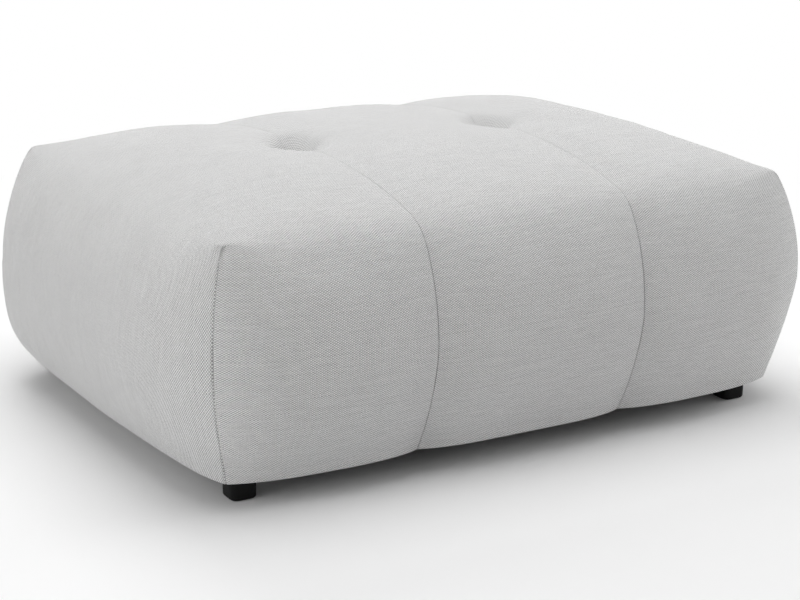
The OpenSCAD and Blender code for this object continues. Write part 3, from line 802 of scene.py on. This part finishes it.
# Timber frame, deck, cladding, dowels and screws.
# Planed pine posts and rails are dowelled together, clad with hardboard and decked with
# plywood; the shapes come from the drawing, and only their finishes are made here.
def wood(name, along_axis, dark, light, ring=26.0):
    """Planed wood: growth bands across the grain and long fine fibres."""
    made, shader, spot = finish_of(name, 0.62)
    stretch = [1.0, 1.0, 1.0]
    stretch[along_axis] = 0.06
    long = node(spot.tree, "ShaderNodeMapping", (), {"Vector": spot, "Scale": stretch})
    bands = ((noise(long, ring, 2) * 40).maths("SINE") + 1) * 0.5
    fibre_lines = noise(long, 700, 3, 0.7)
    coloured(shader, bands * 0.55 + fibre_lines * 0.45, dark, light)
    bumped(shader, fibre_lines, 0.25, 0.0005)
    return made


def plywood():
    """Birch plywood: long flecks on the faces, and level plies of alternating tone."""
    ply_thickness = 0.0015
    made, shader, spot = finish_of("plywood", 0.6)
    ply = (parts_of(spot)[2] / ply_thickness).maths("PINGPONG", 1).maths("ROUND")
    long = node(spot.tree, "ShaderNodeMapping", (), {"Vector": spot, "Scale": (0.1, 1, 1)})
    fleck = noise(long, 320, 4, 0.7)
    coloured(shader, fleck * 0.7 + ply * 0.3, (0.50, 0.35, 0.19), (0.76, 0.60, 0.38))
    bumped(shader, fleck, 0.2, 0.0004)
    return made


def pressed_board():
    """Hardboard: pressed brown fibres with pale shreds, in soft clouds."""
    made, shader, spot = finish_of("hardboard", 0.5)
    shred, cloud = noise(spot, 420, 4, 0.75), noise(spot, 14, 3)
    coloured(shader, shred * 0.75 + cloud * 0.25, (0.17, 0.09, 0.045), (0.42, 0.27, 0.16))
    feed(shader, "Roughness", shred * 0.25 + 0.38)
    bumped(shader, shred, 0.2, 0.0003)
    return made


def zinc():
    """Zinc-plated steel: bright, with cloudy passivation."""
    made, shader, spot = finish_of("zinc_plate", 0.3, Metallic=1.0)
    cloud = noise(spot, 160, 3)
    coloured(shader, cloud, (0.62, 0.62, 0.60), (0.80, 0.80, 0.82))
    feed(shader, "Roughness", cloud * 0.2 + 0.22)
    return made


def moulded(name, dark, light, gloss, shine=0.5):
    """Moulded plastic with a fine spark-eroded grain."""
    made, shader, spot = finish_of(name, gloss, Specular_IOR_Level=shine)
    grain = noise(spot, 1500, 3, 0.6)
    coloured(shader, noise(spot, 60, 3), dark, light)
    feed(shader, "Roughness", grain * 0.16 + (gloss - 0.08))
    bumped(shader, grain, 0.25, 0.0002)
    return made


pine = [wood("pine_" + way, axis, (0.58, 0.40, 0.21), (0.84, 0.68, 0.44))
        for axis, way in enumerate(("long", "cross", "upright"))]
zinc_plate = zinc()
finishes = {"deck": plywood(),
            "dowels": wood("beech", 2, (0.55, 0.36, 0.22), (0.76, 0.57, 0.40), ring=60.0),
            "deck_screws": zinc_plate, "deck_bearer": pine[1]}
hardboard = pressed_board()
washer_finish = moulded("washer_nylon", (0.22, 0.22, 0.23), (0.30, 0.30, 0.31), 0.5)
for way in ("front", "rear", "left", "right"):
    finishes[way + "_panel"] = hardboard
    for level in ("bottom", "top"):
        finishes[f"{way}_{level}_rail"] = pine[0 if way in ("front", "rear") else 1]
for end in ("left", "right"):
    finishes[end + "_washer"] = washer_finish
    for way in ("front", "rear"):
        finishes[f"{way}_{end}_post"] = pine[2]
for name, finish in finishes.items():
    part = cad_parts[name]
    part.data.materials.clear()
    part.data.materials.append(finish)

# Dust cover of black nonwoven cloth and the wire staples round it.
# It is folded in at the edges, held to the bottom rails by staples and sags a little.
dust_l, dust_w, post_x, post_y = 0.451, 0.336, 0.427, 0.312


def nonwoven():
    """Black spunbond: random fibres with a grid of bonded dots."""
    dot_gap = 0.0028
    made, shader, spot = finish_of("nonwoven", 0.85, Sheen_Weight=0.15)
    hair = noise(spot, 1100, 4, 0.75)
    x, y = (((part * (math.tau / dot_gap)).maths("SINE") + 1) * 0.5 for part in parts_of(spot)[:2])
    dot = (x * y) ** 3
    coloured(shader, hair - dot * 0.4, (0.006, 0.006, 0.006), (0.05, 0.05, 0.05))
    bumped(shader, hair - dot, 0.4, 0.0004)
    return made


gx, gy = np.meshgrid(*(lines(-half, half, 0.009, [(-half, 0.002, 0.05), (half, 0.002, 0.05)])
                       for half in (dust_l, dust_w)), indexing="ij")
sheet_grid = np.stack((gx, gy, np.full_like(gx, hem_z)), -1)
slack = gentle((0.405 - np.abs(gx)) / 0.12) * gentle((0.285 - np.abs(gy)) / 0.12)
creases = np.sin(gx * 60 + gy * 35 + 2 * uneven(sheet_grid, 12, 32))
waves = 0.0008 * uneven(sheet_grid, 45, 31) + 0.0005 * creases
sheet_grid[..., 2] -= slack * (0.0035 - waves)
dust = mesh_piece("dust_cloth", [(sheet_grid, None, False)], nonwoven(), thick=0.0005)
settle(dust, "dust_cloth", "dust_cover")

# A staple's path, as width and height, and the section of its wire
staple = np.array([(-5, 6.0), (-5, 0.9), (-4.7, 0.2), (-4.2, 0),
                   (4.2, 0), (4.7, 0.2), (5, 0.9), (5, 6.0)]) / 1000
section = np.array([(-0.45, -0.3), (0.45, -0.3), (0.45, 0.3), (-0.45, 0.3), (-0.45, -0.3)]) / 1000


def staple_grids(places, along_x, foot):
    """Staples at places, each a bent flat wire with its legs up in the rail and its crown below
    the cloth, as one grid of its path by its section."""
    ahead = unit(np.gradient(staple, axis=0))
    across = np.stack((-ahead[:, 1], ahead[:, 0]), 1)
    flat = staple[:, None] + across[:, None] * section[:, 1][:, None]
    flat[[0, -1]] = staple[[0, -1], None]
    side = np.broadcast_to(section[:, 0], flat.shape[:2]).copy()
    side[[0, -1]] = 0
    wide, high = flat[..., 0], flat[..., 1] + foot
    one = np.stack((wide, side, high) if along_x else (side, wide, high), -1)
    return [one + (x, y, 0) for x, y in places]


def staple_rows(inset, gap):
    """Staple places round the underside, clear of the feet and inset from the dust cover's edge:
    the two long rows, and the two short ones."""
    long, short = dust_l - inset, dust_w - inset
    xs, ys = (np.arange(-reach + gap * 0.55, reach - 0.02, gap) for reach in (long, short))
    rows = ([(x, s * short) for s in (-1, 1) for x in xs], [(s * long, y) for s in (-1, 1) for y in ys])
    return [[(x, y) for x, y in row if abs(abs(x) - post_x) >= 0.028 or abs(abs(y) - post_y) >= 0.028]
            for row in rows]


for name, inset, gap, foot in (("dust_staples", 0.008, 0.055, 0.03465),
                               ("hem_staples", 0.0045, 0.035, 0.0350)):
    long_rows, short_rows = staple_rows(inset, gap)
    closed_piece(name, staple_grids(long_rows, True, foot) + staple_grids(short_rows, False, foot),
                 zinc_plate, "screw_steel")

# Feet, moulded in black plastic, and the screw in each.
# A square foot with rounded upright corners stands under each post, its screw sunk in a
# recess from below.
foot_h, foot_half, squareness, fillet = 0.035, 0.020, 4.4, 0.004
recess, recess_radius = 0.026, 0.0065


def round_rows(rows, around):
    """A surface of closed outlines |x|^power + |y|^power = half^power, one for each row of (half,
    height, power); a power of 2 is a circle and a high one a square."""
    turn = np.linspace(0, math.tau, around + 1)
    half, height, power = (np.array(column)[:, None] for column in zip(*rows))
    radius = half / (np.abs(np.cos(turn)) ** power + np.abs(np.sin(turn)) ** power) ** (1 / power)
    return np.stack((radius * np.cos(turn), radius * np.sin(turn), height + 0 * radius), -1)


# From the screw's hole on top outwards, down the sides, in below and up into the recess
foot_rows = [(0.0024, foot_h, 2.0), (0.012, foot_h, 3.0), (foot_half - 0.0006, foot_h, squareness),
             (foot_half - 0.0002, foot_h - 0.0002, squareness)]
foot_rows += [(foot_half - 0.0004 * s, foot_h - 0.0006 - 0.0304 * s, squareness)
              for s in (0, *np.linspace(0.08, 1, 9))]
foot_rows += [(foot_half - 0.0044 + fillet * math.cos(a), fillet - fillet * math.sin(a), squareness)
              for a in np.linspace(0, math.pi / 2, 8)[1:]]
foot_rows += [(0.0125, 0, 3.6), (0.0095, 0, 2.6), (0.0071, 0, 2.0), (0.0067, 0.0002, 2.0),
              (recess_radius, 0.0006, 2.0)]
foot_rows += [(recess_radius, z, 2.0) for z in np.linspace(0.004, 0.0252, 7)]
foot_rows += [(0.0064, 0.0258, 2.0), (0.0060, recess, 2.0), (0.0046, recess, 2.0),
              (0.0024, 0.0283, 2.0), (0.0024, foot_h, 2.0)]
foot_plastic = moulded("foot_plastic", (0.004, 0.004, 0.004), (0.008, 0.008, 0.008), 0.46, 0.12)
foot_grid = round_rows(foot_rows, 96)
for end, y in (("front", -post_y), ("rear", post_y)):
    for side, x in (("left", -post_x), ("right", post_x)):
        closed_piece(f"{end}_{side}_block", [foot_grid + (x, y, 0)], foot_plastic, "foot_plastic",
                     f"{end}_{side}_foot")


def wood_screw():
    """A countersunk screw, head down, with a cross sunk in its head and a ridge that climbs
    round the shank as its thread."""
    flat = [(r, 0) for r in (0, 0.0004, 0.0008, 0.0012, 0.0016, 0.0020, 0.0024, 0.0028, 0.0034, 0.0043)]
    rows = flat + [(0.0045, 0.0002), (0.00235, 0.0022), (0.0021, 0.0024)]
    rows += [(0.0018, z) for z in np.arange(0.0065, 0.0345, 0.0003)] + [(0.0009, 0.0365), (0.0, 0.038)]
    turn = np.linspace(0, math.tau, 41)
    radius, height = (np.array(column)[:, None] for column in zip(*rows))
    ridge = np.abs((height / 0.0018 - turn / math.tau) % 1 - 0.5) * 2
    on_shank = (height > 0.0064) & (height < 0.0346)
    radius = radius + np.where(on_shank, 0.00045 * np.maximum(0, ridge * 2 - 1), 0 * turn)
    x, y = radius * np.cos(turn), radius * np.sin(turn)
    arm = np.minimum(np.abs(x), np.abs(y))
    cross = gentle((0.0007 - arm) / 0.0003) * gentle((0.0028 - radius) / 0.0006)
    height = height + np.where(height < 0.0001, 0.0018 * cross, 0)
    return np.stack((x, y, height), -1)


places = [(x, y, recess) for x in (-post_x, post_x) for y in (-post_y, post_y)]
closed_piece("sunk_screws", [wood_screw() + place for place in places], zinc_plate, "screw_steel",
             "foot_screws")

# Floor, backdrop and lamps.
# A pale floor, a world that is white to the camera, and large soft lamps.
def plain_white(tree, kind, lit, fade, end):
    """Ends the tree in the lit shader, and in plain white of a kind where the camera or a
    reflection sees it, by a share fade."""
    seen, glossy, through = (node(tree, "ShaderNodeLightPath", out=f"Is {way} Ray")
                             for way in ("Camera", "Glossy", "Transmission"))
    share = seen.maths("MAXIMUM", glossy).maths("MAXIMUM", through) * fade
    white = node(tree, kind, (), {"Color": (1, 1, 1, 1), "Strength": 1.0})
    mixed = node(tree, "ShaderNodeMixShader", (), {0: share, 1: Wire(tree, lit.outputs[0]), 2: white})
    tree.links.new(mixed.socket, tree.nodes[end].inputs[0])


def plain_floor():
    """A pale floor that keeps the shadow near the footstool and is plain white further out."""
    made, shader, spot = finish_of("floor_paint", 0.9)
    coloured(shader, noise(spot, 3, 2), (0.93, 0.93, 0.93), (0.95, 0.95, 0.95))
    far = node(spot.tree, "ShaderNodeVectorMath", {"operation": "LENGTH"}, {0: spot}, "Value")
    fade = node(spot.tree, "ShaderNodeMapRange", {"interpolation_type": "SMOOTHSTEP"},
                {"Value": far, "From Min": 0.75, "From Max": 1.7})
    plain_white(spot.tree, "ShaderNodeEmission", shader, fade, "Material Output")
    mesh = bpy.data.meshes.new("floor")
    mesh.from_pydata([(-30, -30, 0), (30, -30, 0), (30, 30, 0), (-30, 30, 0)], [], [(0, 1, 2, 3)])
    mesh.materials.append(made)
    floor = placed("floor", mesh)


def lamp(name, place, size, power):
    """A square soft lamp at a place, turned towards the footstool."""
    data = bpy.data.lights.new(name, "AREA")
    data.shape, data.size, data.energy = "SQUARE", size, power
    made = placed(name, data)
    made.location = place
    made.rotation_euler = (Vector(place) - Vector((0, 0, 0.2))).to_track_quat("Z", "Y").to_euler()


plain_floor()
world = bpy.data.worlds.new("studio")
scene.world = world
world.use_nodes = True
sky = world.node_tree.nodes["Background"]
sky.inputs["Color"].default_value, sky.inputs["Strength"].default_value = (1, 1, 1, 1), 0.245
plain_white(world.node_tree, "ShaderNodeBackground", sky, 1.0, "World Output")
lamp("top_lamp", (0, 0, 3.2), 3.0, 60)
lamp("left_lamp", (-3.4, -0.6, 1.4), 1.8, 31)
lamp("rear_lamp", (0.3, 2.6, 2.6), 2.0, 41)
lamp("right_lamp", (3.4, -0.8, 1.4), 1.8, 38.5)
scene.view_settings.view_transform = "Standard"
